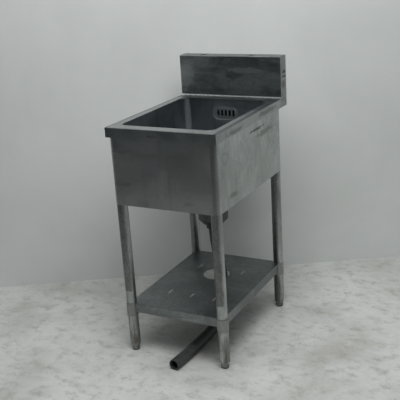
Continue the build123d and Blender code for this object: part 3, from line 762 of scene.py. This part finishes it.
splashEndFinish = {
    **steelBasis,
    "light": (0.46, 0.47, 0.47),
    "dark": (0.26, 0.27, 0.27),
    "roughness": 0.36,
    "grain": (700, 14, 700),
    "mottle": 0.7,
    "cloudSize": 14.0,
    "patches": (
        {
            "middle": (0.21, 0.285, 0.945),
            "reach": (0.01, 0.022, 0.006),
            "share": 0.85,
            "color": (0.05, 0.05, 0.05),
        },
        {
            "middle": (0.21, 0.282, 0.928),
            "reach": (0.01, 0.026, 0.005),
            "share": 0.85,
            "color": (0.06, 0.06, 0.06),
        },
        {
            "middle": (0.21, 0.275, 0.900),
            "reach": (0.01, 0.020, 0.02),
            "share": 0.5,
            "color": (0.12, 0.12, 0.12),
        },
    ),
}
bowlFinish = {
    **steelBasis,
    "light": (0.62, 0.65, 0.67),
    "dark": (0.44, 0.47, 0.49),
    "roughness": 0.30,
    "grain": (700, 700, 14),
    "mottle": 0.25,
    "runs": 0.3,
    "runSpacing": 30.0,
    "patches": (
        # painted highlight: a bright upright band in the bowl's back-left corner
        {
            "middle": (-0.161, 0.200, 0.770),
            "reach": (0.015, 0.015, 0.14),
            "share": 1.0,
            "color": (1.0, 1.0, 1.0),
            "broken": 0.3,
        },
        {
            "middle": (-0.018, 0.205, 0.797),
            "reach": (0.046, 0.02, 0.044),
            "share": 0.5,
            "color": (0.86, 0.88, 0.90),
            "broken": 0.2,
            "hollow": 0.7,
        },
    ),
}
frontPanelFinish = {
    **steelBasis,
    "light": (0.46, 0.48, 0.475),
    "dark": (0.36, 0.38, 0.375),
    "roughness": 0.34,
    "grain": (14, 700, 700),
    "mottle": 0.25,
    "runs": 0.25,
    "runSpacing": 22.0,
    "scratchStrength": 0.15,
    "patches": (
        {
            "middle": (-0.15, -0.2985, 0.768),
            "reach": (0.07, 0.01, 0.007),
            "share": 0.45,
            "color": (0.20, 0.21, 0.21),
            "broken": 1.3,
        },
        {
            "middle": (-0.165, -0.2985, 0.652),
            "reach": (0.05, 0.01, 0.010),
            "share": 0.5,
            "color": (0.20, 0.21, 0.21),
            "broken": 1.3,
        },
        {
            "middle": (0.09, -0.2985, 0.604),
            "reach": (0.022, 0.01, 0.009),
            "share": 0.30,
            "color": (0.20, 0.21, 0.21),
            "broken": 2.2,
        },
    ),
}
# painted light: the side panels are a brighter copy of the case steel, and their shade is a painted shade
# on the corner part that faces the front
paintedLitSidePanelFinish = {
    **steelBasis,
    "light": (0.69, 0.715, 0.705),
    "dark": (0.42, 0.44, 0.43),
    "roughness": 0.36,
    "scratchColor": (0.24, 0.25, 0.245),
    "shades": (
        {"toward": (0, -1, 0), "start": 0.72, "full": 0.90, "share": 0.9, "color": (0.30, 0.31, 0.31)},
    ),
    "grain": (320, 320, 9),
    "cloudSize": 5.0,
    "cloudDraw": (1, 1, 0.55),
    "mottle": 0.4,
    "scratchShare": 1.0,
    "scratchStrength": 0.5,
    "edgeShare": 0.4,
    "patches": (
        {
            "middle": (0.2035, 0.03, 0.787),
            "reach": (0.02, 0.075, 0.006),
            "share": 0.75,
            "color": (0.12, 0.12, 0.12),
            "broken": 2.4,
        },
        {
            "middle": (0.2035, 0.10, 0.762),
            "reach": (0.02, 0.10, 0.012),
            "share": 0.5,
            "color": (0.22, 0.23, 0.22),
            "broken": 2.4,
        },
        {
            "middle": (0.2035, -0.235, 0.752),
            "reach": (0.02, 0.030, 0.026),
            "share": 0.55,
            "color": (0.22, 0.23, 0.225),
            "broken": 0.9,
            "hollow": 1.0,
        },
        {
            "middle": (0.2035, -0.185, 0.612),
            "reach": (0.02, 0.040, 0.012),
            "share": 0.55,
            "color": (0.22, 0.23, 0.22),
            "broken": 1.6,
        },
    ),
}
legFinish = {
    **steelBasis,
    "light": (0.55, 0.57, 0.56),
    "dark": (0.31, 0.325, 0.315),
    "roughness": 0.28,
    "grain": (420, 420, 6),
    "cloudSize": 14.0,
    "cloudDraw": (1, 1, 0.5),
    "mottle": 0.5,
    "filmAndShade": 0.85,
    "runs": 0.5,
    "runSpacing": 60.0,
    "runColor": (0.14, 0.14, 0.13),
    "grimeShadeFoot": 0.04,
    "grimeShadeTop": 0.19,
    "grimeShadeShare": 0.85,
    "warpDepth": 0.0003,
}
collarFinish = {
    **legFinish,
    "filmAndShade": 0.0,
    "light": (0.42, 0.43, 0.42),
    "dark": (0.25, 0.255, 0.25),
    "roughness": 0.36,
    "runs": 0.3,
    "grimeShadeTop": 0.2,
    "grimeShadeFoot": 0.1,
    "grimeShadeShare": 0.3,
}
# rear legs: the film and its painted side shade run down to the floor
rearLegFinish = {**legFinish, "filmEnd": 0.0, "filmReach": -0.1}
shelfSlots = ((-0.092, -0.1465), (0, -0.1465), (0.092, -0.1465), (-0.092, 0.1025), (0.092, 0.1025))
shelfFinish = {
    **steelBasis,
    "light": (0.30, 0.32, 0.32),
    "dark": (0.19, 0.21, 0.21),
    "roughness": 0.36,
    "grain": (700, 14, 700),
    "mottle": 0.6,
    "dust": 0.12,
    "scratchStrength": 0.3,
    "grimeShadeFoot": 0.15,
    "grimeShadeTop": 0.193,
    "grimeShadeShare": 0.35,
    # painted highlight: a bright mark along each slot, where its lip catches light
    "patches": tuple(
        {
            "middle": (across, along, 0.191),
            "reach": (0.0045, 0.030, 0.01),
            "share": 1.0,
            "color": (0.95, 0.97, 0.97),
            "broken": 0.8,
        }
        for across, along in shelfSlots
    ),
}
footFinish = {
    **legFinish,
    "filmAndShade": 0.0,
    "light": (0.46, 0.46, 0.44),
    "dark": (0.21, 0.21, 0.195),
    "roughness": 0.42,
    "grimeShadeFoot": 0.0,
    "grimeShadeTop": 0.05,
    "grimeShadeShare": 0.55,
}
brightFinish = {
    **steelBasis,
    "light": (0.62, 0.63, 0.63),
    "dark": (0.45, 0.46, 0.46),
    "roughness": 0.20,
    "mottle": 0.35,
    "edgeShare": 0.2,
    "grainDepth": 0.000004,
    "warpDepth": 0.0002,
}
trapFinish = {
    **steelBasis,
    "light": (0.15, 0.16, 0.155),
    "dark": (0.075, 0.080, 0.076),
    "roughness": 0.34,
    "grain": (300, 300, 900),
    "mottle": 0.6,
    "runs": 0.3,
    "scratchStrength": 0.12,
}
plainFinish = {
    **steelBasis,
    "light": (0.42, 0.43, 0.43),
    "dark": (0.27, 0.28, 0.28),
    "roughness": 0.40,
    "mottle": 0.5,
}

# painted light: the overflow cover is a lighter copy of the bright steel, to read brighter in its shade
paintedLitCoverFinish = {**brightFinish, "light": (0.92, 0.93, 0.94), "dark": (0.72, 0.73, 0.74), "roughness": 0.3}

steels = {
    "rimSteel": rimFinish,
    "splashSteel": splashFinish,
    "splashEndSteel": splashEndFinish,
    "bowlSteel": bowlFinish,
    "frontPanelSteel": frontPanelFinish,
    "paintedLitSidePanelSteel": paintedLitSidePanelFinish,
    "legSteel": legFinish,
    "rearLegSteel": rearLegFinish,
    "collarSteel": collarFinish,
    "shelfSteel": shelfFinish,
    "footSteel": footFinish,
    "brightSteel": brightFinish,
    "paintedLitCoverSteel": paintedLitCoverFinish,
    "trapSteel": trapFinish,
    "plainSteel": plainFinish,
}
materials = {name: makeSteel(name, finish) for name, finish in steels.items()}
print("steel finishes built:", len(materials))


# Plastic and rubber finishes


# Moulded or extruded plastic, with a fine skin, scuffs and dust
def makePlastic(name, finish):
    material, tree, shader = newMaterial(name)
    broad = useGroup(tree, cloudGroup, "Broad", Size=finish["cloudSize"])
    fine = useGroup(tree, cloudGroup, "Fine", Size=finish["cloudSize"])
    scratch = useGroup(tree, scratchGroup, "Scratch", Share=finish["scuffShare"])
    worn = useGroup(tree, edgeGroup, "Worn", Width=finish["edgeWidth"])
    dust = useGroup(tree, dustGroup, "Dust", Cover=finish["dust"])
    color = mixColor(tree, broad, finish["dark"], finish["light"])
    color = mixColor(tree, calc(tree, "MULTIPLY", fine, 0.3), color, finish["dark"])
    color = mixColor(tree, calc(tree, "MULTIPLY", scratch, 0.35), color, finish["scuff"])
    color = mixColor(tree, calc(tree, "MULTIPLY", worn, 0.35), color, finish["scuff"])
    color = mixColor(tree, dust, color, steelColors["dust"])
    rough = calc(tree, "ADD", finish["roughness"], calc(tree, "MULTIPLY", broad, 0.1))
    rough = calc(tree, "ADD", rough, calc(tree, "MULTIPLY", dust, 0.3))
    feed(tree, shader.inputs["Base Color"], color)
    feed(tree, shader.inputs["Roughness"], calc(tree, "MINIMUM", rough, 0.95))
    skin = noise(tree, objectPlace(tree), finish["skinSize"], 3, 0.6)
    bumpedNormal(tree, shader, [(skin, finish["skinDepth"]), (scratch, -0.00005)])
    return material


plasticBasis = {
    "light": (0.045, 0.048, 0.047),
    "dark": (0.022, 0.024, 0.024),
    "scuff": (0.16, 0.16, 0.155),
    "roughness": 0.42,
    "cloudSize": 14.0,
    "scuffShare": 0.5,
    "edgeWidth": 0.0012,
    "dust": 0.15,
    "skinSize": 900.0,
    "skinDepth": 0.00006,
}
hoseFinish = {
    **plasticBasis,
    "light": (0.055, 0.060, 0.059),
    "dark": (0.028, 0.031, 0.031),
    "roughness": 0.46,
    "dust": 0.15,
    "scuffShare": 0.1,
    "edgeWidth": 0.0004,
    "skinSize": 400.0,
}
rubberFinish = {**plasticBasis, "roughness": 0.7, "scuffShare": 0.2}
greyPlasticFinish = {
    **plasticBasis,
    "light": (0.32, 0.33, 0.33),
    "dark": (0.24, 0.25, 0.25),
    "scuff": (0.45, 0.45, 0.44),
}
# painted shade: the overflow box is black so the slots in the cover read dark
boxPlasticPaintedShadeFinish = {**plasticBasis, "dust": 0.05, "scuffShare": 0.2}
overflowHoseFinish = {
    **plasticBasis,
    "light": (0.27, 0.28, 0.28),
    "dark": (0.18, 0.19, 0.19),
    "scuff": (0.38, 0.38, 0.37),
    "roughness": 0.5,
}

plastics = {
    "blackPlastic": plasticBasis,
    "hosePlastic": hoseFinish,
    "sealRubber": rubberFinish,
    "greyPlastic": greyPlasticFinish,
    "boxPlasticPaintedShade": boxPlasticPaintedShadeFinish,
    "overflowHosePlastic": overflowHoseFinish,
}
materials.update({name: makePlastic(name, finish) for name, finish in plastics.items()})
print("plastic finishes built:", len(plastics))


# Which finish each piece wears

nodeFinish = {
    "rimSteel": ("deck",),
    "splashSteel": ("back_splash",),
    "splashEndSteel": ("back_splash_end_left", "back_splash_end_right"),
    "bowlSteel": ("bowl",),
    "frontPanelSteel": ("case_front",),
    "paintedLitSidePanelSteel": ("case_left", "case_right"),
    "collarSteel": ("shelf_collars",),
    "shelfSteel": ("shelf", "shelf_stiffener_front", "shelf_stiffener_rear"),
    "brightSteel": ("waste_flange", "basket", "basket_handle", "overflow_clips"),
    "paintedLitCoverSteel": ("overflow_cover",),
    "trapSteel": ("trap_body",),
    "plainSteel": (
        "front_rail", "rear_rail", "left_rail", "right_rail", "rear_brace", "leg_top_plates",
        "plate_studs", "plate_nuts", "leg_inserts", "grub_screws",
    ),
    "blackPlastic": ("lock_nut", "outlet_nut", "hose_tail"),
    "sealRubber": ("waste_gasket", "outlet_washer", "overflow_gasket"),
    "greyPlastic": ("trap_bell",),
    "boxPlasticPaintedShade": ("overflow_box",),
}


def paint(piece, finish):
    piece.data.materials.clear()
    piece.data.materials.append(materials[finish])


for finish, names in nodeFinish.items():
    for name in names:
        paint(nodes[name], finish)
for leg in legNames:
    paint(nodes["leg_" + leg], "rearLegSteel" if leg.startswith("rear") else "legSteel")
    paint(nodes["foot_" + leg], "footSteel")
    paint(nodes["foot_pad_" + leg], "blackPlastic")
paint(hose, "hosePlastic")
print("frame pieces painted")


# Foot screws: real threads in place of plain rods

footScrew = {"pitch": 0.00175, "depth": 0.0010, "sides": 24, "rowsPerTurn": 8, "taper": 0.001}


def makeFootScrew(leg, settings):
    low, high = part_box("foot_screw_" + leg)
    middle = (low + high) / 2
    crest = (high.x - low.x) / 2
    turns = (high.z - low.z) / settings["pitch"]
    rows = round(turns * settings["rowsPerTurn"])
    rings = []
    for row in range(rows + 1):
        height = low.z + (high.z - low.z) * row / rows
        fromEnd = min(height - low.z, high.z - height)
        ring = []
        for side in range(settings["sides"]):
            share = side / settings["sides"]
            phase = (height / settings["pitch"] - share) % 1
            cut = settings["depth"] * min(1, abs(2 * phase - 1) * 1.25)
            radius = crest - cut - max(0, settings["taper"] - fromEnd)
            angle = 2 * math.pi * share
            ring.append((middle.x + radius * math.cos(angle), middle.y + radius * math.sin(angle), height))
        rings.append(ring)
    points = [point for ring in rings for point in ring]
    faces = skinRings(rings)
    faces.append(list(reversed(range(settings["sides"]))))
    faces.append([rows * settings["sides"] + side for side in range(settings["sides"])])
    piece = addMesh("footScrew_" + leg, points, faces)
    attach(piece, "screw_" + leg)
    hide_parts("foot_screw_" + leg)
    paint(piece, "footSteel")


for leg in legNames:
    makeFootScrew(leg, footScrew)
print("foot screws threaded")


# Overflow screws: domed heads with a cross recess

overflowScrew = {
    "head": 0.0045,
    "height": 0.0024,
    "shank": 0.0025,
    "recess": 0.0014,
    "arm": 0.0028,
    "armWidth": 0.0011,
    "rings": 14,
    "sides": 64,
}


# How far the head stands out at one place, with the cross cut in
def headHeight(across, up, settings):
    share = min(1.0, math.hypot(across, up) / settings["head"])
    dome = settings["height"] * math.sqrt(max(0.0, 1 - share**3.2))
    inArm = abs(across) < settings["arm"] and abs(up) < settings["armWidth"] / 2
    inOther = abs(up) < settings["arm"] and abs(across) < settings["armWidth"] / 2
    return dome - settings["recess"] if inArm or inOther else dome


def makeOverflowScrews(settings):
    low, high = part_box("overflow_screws")
    seat = low.y + settings["height"]
    rings = settings["rings"]
    heads = []
    for middle in (low.x + settings["head"], high.x - settings["head"]):
        place = Vector((middle, 0, (low.z + high.z) / 2))
        loops = []
        for ring in range(1, rings + 1):
            loop = []
            for side in range(settings["sides"]):
                angle = 2 * math.pi * side / settings["sides"]
                across = settings["head"] * ring / rings * math.cos(angle)
                up = settings["head"] * ring / rings * math.sin(angle)
                out = seat - headHeight(across, up, settings)
                loop.append((place.x + across, out, place.z + up))
            loops.append(loop)
        for radius, depth in ((settings["shank"], seat), (settings["shank"], high.y)):
            loop = []
            for side in range(settings["sides"]):
                angle = 2 * math.pi * side / settings["sides"]
                loop.append((place.x + radius * math.cos(angle), depth, place.z + radius * math.sin(angle)))
            loops.append(loop)
        points = [point for loop in loops for point in loop]
        faces = skinRings(loops)
        count = settings["sides"]
        faces.append(list(reversed(range(count))))
        faces.append([(len(loops) - 1) * count + side for side in range(count)])
        heads.append(addMesh("head", points, faces))
    piece = joinPieces("overflowScrews", heads)
    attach(piece, "sink")
    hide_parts("overflow_screws")
    paint(piece, "brightSteel")


makeOverflowScrews(overflowScrew)
print("overflow screws made")


# Overflow hose: ribbed, from the overflow box down and forward to the trap

overflowHose = {
    "route": (
        (0, 0.2296, 0.775),
        (0, 0.2296, 0.616),
        (0, 0.2296, 0.557),
        (0, 0.2036, 0.530),
        (0, 0.155, 0.530),
        (0, 0.1105, 0.530),
    ),
    "radius": 0.0155,
    "rib": 0.0013,
    "bore": 0.0131,
    "pitch": 0.0052,
    "cuff": 0.024,
    "steps": 60,
    "sides": 32,
}


def makeOverflowHose(settings):
    line = splineLine(settings["route"], settings["steps"])
    frames = framesAlong(line)
    run = [0.0]
    for before, after in zip(line, line[1:]):
        run.append(run[-1] + (after - before).length)
    outside = []
    for cross, along in zip(frames, run):
        fromEnd = min(along, run[-1] - along)
        ribbed = fromEnd > settings["cuff"]
        wave = (1 - math.cos(2 * math.pi * along / settings["pitch"])) / 2 if ribbed else 0.0
        outside.append(ringPoints(*cross, settings["radius"] - settings["rib"] * wave, settings["sides"]))
    inside = [ringPoints(*cross, settings["bore"], settings["sides"]) for cross in reversed(frames)]
    piece = ringMesh("overflowHose", outside + inside, closed=True)
    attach(piece, "sink")
    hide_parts("overflow_hose")
    paint(piece, "overflowHosePlastic")


makeOverflowHose(overflowHose)
print("overflow hose made")


# Welds where the collars meet the shelf

collarWeld = {"bead": 0.0016, "ripple": 0.00035, "ripples": 16, "steps": 96, "sides": 10, "sink": 0.0006}


def makeCollarWelds(settings):
    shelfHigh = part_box("shelf")[1]
    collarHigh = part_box("shelf_collars")[1]
    pieces = []
    for leg in legNames:
        low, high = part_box("leg_" + leg)
        middle = (low + high) / 2
        inwardX = -1 if middle.x > 0 else 1
        inwardY = -1 if middle.y > 0 else 1
        radius = collarHigh.x - abs(middle.x)
        toSide = math.asin((shelfHigh.x - abs(middle.x)) / radius)
        rings = []
        for step in range(settings["steps"] + 1):
            share = step / settings["steps"]
            angle = -toSide + (math.pi / 2 + 2 * toSide) * share
            outward = Vector((inwardX * math.cos(angle), inwardY * math.sin(angle), 0))
            place = Vector((middle.x, middle.y, shelfHigh.z - settings["sink"])) + outward * radius
            swell = abs(math.sin(math.pi * settings["ripples"] * share)) * settings["ripple"]
            ends = min(1.0, 8 * share, 8 * (1 - share))
            bead = (settings["bead"] - settings["ripple"] + swell) * (0.3 + 0.7 * ends)
            rings.append(ringPoints(place, outward, Vector((0, 0, 1)), bead, settings["sides"]))
        count = settings["sides"]
        points = [point for ring in rings for point in ring]
        faces = skinRings(rings)
        faces.append(list(range(count)))
        faces.append([settings["steps"] * count + side for side in range(count)])
        pieces.append(addMesh("bead", points, faces))
    piece = joinPieces("collarWelds", pieces)
    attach(piece, "sink")
    paint(piece, "collarSteel")


makeCollarWelds(collarWeld)
print("collar welds made")


# Plain pale floor and wall

stageSettings = {
    "floorReach": 3.2,
    "fadeStart": 1.25,
    "fadeEnd": 2.3,
    "wallLeft": (-1.059, -0.026),
    "wallRight": (0.512, 0.889),
    "wallPast": 1.6,
    "wallHeight": 3.0,
    "floorLight": (0.56, 0.57, 0.555),
    "floorDark": (0.27, 0.26, 0.235),
    "floorSpeck": (0.22, 0.20, 0.175),
    "stainSize": 3.0,
    "scuffSize": (16, 22, 1),
    "speckSize": 45.0,
    "stainShare": 0.6,
    "scuffShare": 0.75,
    "speckShare": 0.5,
    "wallLight": (0.68, 0.70, 0.69),
    "wallDark": (0.62, 0.64, 0.625),
}


def makeFloor(settings):
    reach = settings["floorReach"]
    corners = [(-reach, -reach, 0), (reach, -reach, 0), (reach, reach, 0), (-reach, reach, 0)]
    floor = addMesh("floor", corners, [(0, 1, 2, 3)], smooth=False)
    material, tree, shader = newMaterial("floorPaint")
    place = objectPlace(tree)
    stains = spread(tree, noise(tree, place, settings["stainSize"], 6, 0.62, 0.4), 0.35, 0.75)
    stretched = calcVector(tree, "MULTIPLY", place, settings["scuffSize"])
    scuffs = spread(tree, noise(tree, stretched, 1.0, 9, 0.78), 0.47, 0.70)
    specks = spread(tree, noise(tree, place, settings["speckSize"], 5, 0.7), 0.60, 0.72)
    stained = calc(tree, "MULTIPLY", stains, settings["stainShare"])
    color = mixColor(tree, stained, settings["floorLight"], settings["floorDark"])
    scuffed = calc(tree, "MULTIPLY", scuffs, settings["scuffShare"])
    color = mixColor(tree, scuffed, color, settings["floorDark"])
    specked = calc(tree, "MULTIPLY", specks, settings["speckShare"])
    color = mixColor(tree, specked, color, settings["floorSpeck"])
    feed(tree, shader.inputs["Base Color"], color)
    shader.inputs["Roughness"].default_value = 0.75
    bumpedNormal(tree, shader, [(noise(tree, place, 30.0, 6, 0.6), 0.001)])
    far = calcVector(tree, "LENGTH", place, output="Value")
    gone = spread(tree, far, settings["fadeStart"], settings["fadeEnd"])
    clear = addNode(tree, "ShaderNodeBsdfTransparent")
    blend = addNode(tree, "ShaderNodeMixShader")
    feed(tree, blend.inputs[0], gone)
    feed(tree, blend.inputs[1], shader.outputs[0])
    feed(tree, blend.inputs[2], clear.outputs[0])
    feed(tree, tree.nodes["Material Output"].inputs["Surface"], blend.outputs[0])
    floor.data.materials.append(material)


# The wall behind, clear when seen from its own back
def makeWall(settings):
    left = Vector(settings["wallLeft"])
    right = Vector(settings["wallRight"])
    along = (right - left).normalized() * settings["wallPast"]
    left, right = left - along, right + along
    height = settings["wallHeight"]
    corners = [(*left, 0), (*right, 0), (*right, height), (*left, height)]
    wall = addMesh("wall", corners, [(0, 1, 2, 3)], smooth=False)
    material, tree, shader = newMaterial("wallPaint")
    marks = spread(tree, noise(tree, objectPlace(tree), 1.6, 5, 0.6, 0.4), 0.35, 0.7)
    color = mixColor(tree, marks, settings["wallLight"], settings["wallDark"])
    feed(tree, shader.inputs["Base Color"], color)
    shader.inputs["Roughness"].default_value = 0.8
    clear = addNode(tree, "ShaderNodeBsdfTransparent")
    blend = addNode(tree, "ShaderNodeMixShader")
    feed(tree, blend.inputs[0], addNode(tree, "ShaderNodeNewGeometry").outputs["Backfacing"])
    feed(tree, blend.inputs[1], shader.outputs[0])
    feed(tree, blend.inputs[2], clear.outputs[0])
    feed(tree, tree.nodes["Material Output"].inputs["Surface"], blend.outputs[0])
    wall.data.materials.append(material)


makeFloor(stageSettings)
makeWall(stageSettings)
print("stage set")


# Soft light from above, darker in front

skySettings = {
    "ceiling": (0.30, 0.315, 0.32),
    "openSide": (0.34, 0.355, 0.35),
    "darkSide": (0.030, 0.034, 0.036),
    "seen": (0.46, 0.48, 0.475),
    "darkDirection": (0.30, -0.95, 0),
    "darkFrom": -0.35,
    "darkTo": 0.45,
    "lowRise": 0.25,
    "highRise": 0.75,
    "strength": 1.0,
}
softLights = (
    {"name": "topLight", "place": (0.5, -0.75, 2.9), "aim": (0.1, 0.1, 0.2), "size": 1.7, "power": 60.0},
    {"name": "wallLight", "place": (1.4, -1.0, 2.3), "aim": (0.6, 1.0, 0.8), "size": 1.2, "power": 8.0},
)


def makeSky(settings):
    world = bpy.data.worlds.new("softRoom")
    bpy.context.scene.world = world
    world.use_nodes = True
    tree = world.node_tree
    looking = addNode(tree, "ShaderNodeTexCoord").outputs["Generated"]
    toDark = calcVector(tree, "DOT_PRODUCT", looking, settings["darkDirection"], output="Value")
    dark = spread(tree, toDark, settings["darkFrom"], settings["darkTo"])
    room = mixColor(tree, dark, settings["openSide"], settings["darkSide"])
    up = spread(tree, axisOf(tree, looking, "Z"), settings["lowRise"], settings["highRise"])
    room = mixColor(tree, up, room, settings["ceiling"])
    seen = addNode(tree, "ShaderNodeLightPath").outputs["Is Camera Ray"]
    background = tree.nodes["Background"]
    feed(tree, background.inputs["Color"], mixColor(tree, seen, room, settings["seen"]))
    background.inputs["Strength"].default_value = settings["strength"]


def addSoftLight(settings):
    data = bpy.data.lights.new(settings["name"], "AREA")
    data.shape = "SQUARE"
    data.size = settings["size"]
    data.energy = settings["power"]
    light = bpy.data.objects.new(settings["name"], data)
    bpy.context.scene.collection.objects.link(light)
    light.location = settings["place"]
    light.visible_glossy = False
    aim = Vector(settings["aim"]) - light.location
    light.rotation_euler = aim.to_track_quat("-Z", "Y").to_euler()


makeSky(skySettings)
for light in softLights:
    addSoftLight(light)
print("lights placed")
